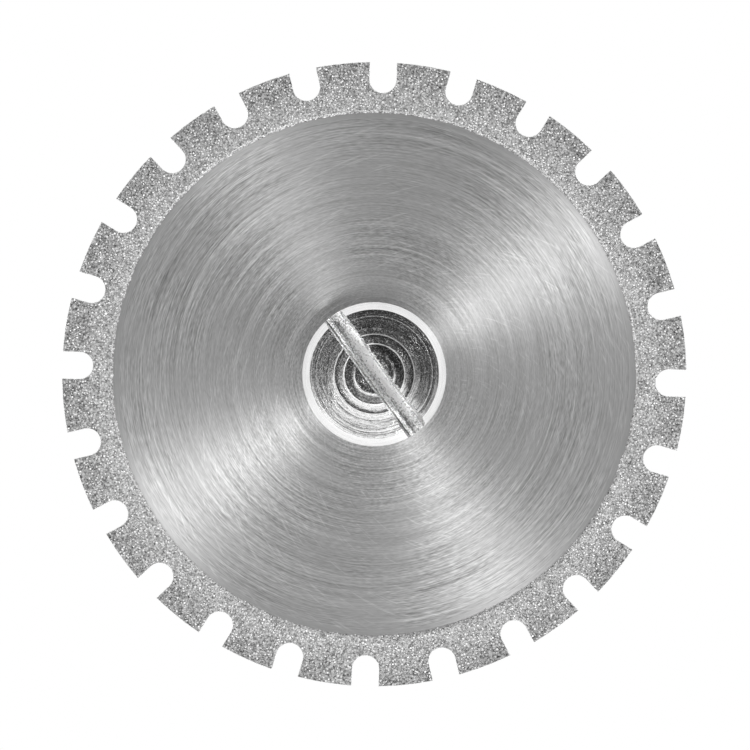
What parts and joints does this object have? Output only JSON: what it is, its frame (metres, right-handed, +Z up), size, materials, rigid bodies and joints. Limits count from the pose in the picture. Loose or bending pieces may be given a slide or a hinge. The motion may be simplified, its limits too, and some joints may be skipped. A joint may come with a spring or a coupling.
{
  "type": "double-sided diamond disc",
  "caption": "Thin toothed steel disc with diamond grit plated on both sides of its rim, clamped by a slotted screw to a mandrel with a plain round shank, for cutting in a handpiece.",
  "frame": {"origin": "middle of the shank's free end, on the tool's axis, at the mount shank", "axes": "+Y along the tool's axis, out of the shank's free end; the disc's front, with the screw head, faces -Y; +Z up; +X to the right seen from the front"},
  "size_m": [0.022, 0.0441, 0.022],
  "materials": {
    "disc_steel": "ground in circles about the axis, satin",
    "diamond_grit": "diamond grains in plated nickel, granular and sparkling",
    "screw_steel": "turned face with visible tool rings, bright chamfer",
    "mandrel_steel": "fine ground and bright"
  },
  "bodies": {
    "root": {"disc_blank": "disc_steel", "diamond_coating": "diamond_grit", "clamp_screw": "screw_steel", "mandrel": "mandrel_steel"}
  },
  "joints": []
}
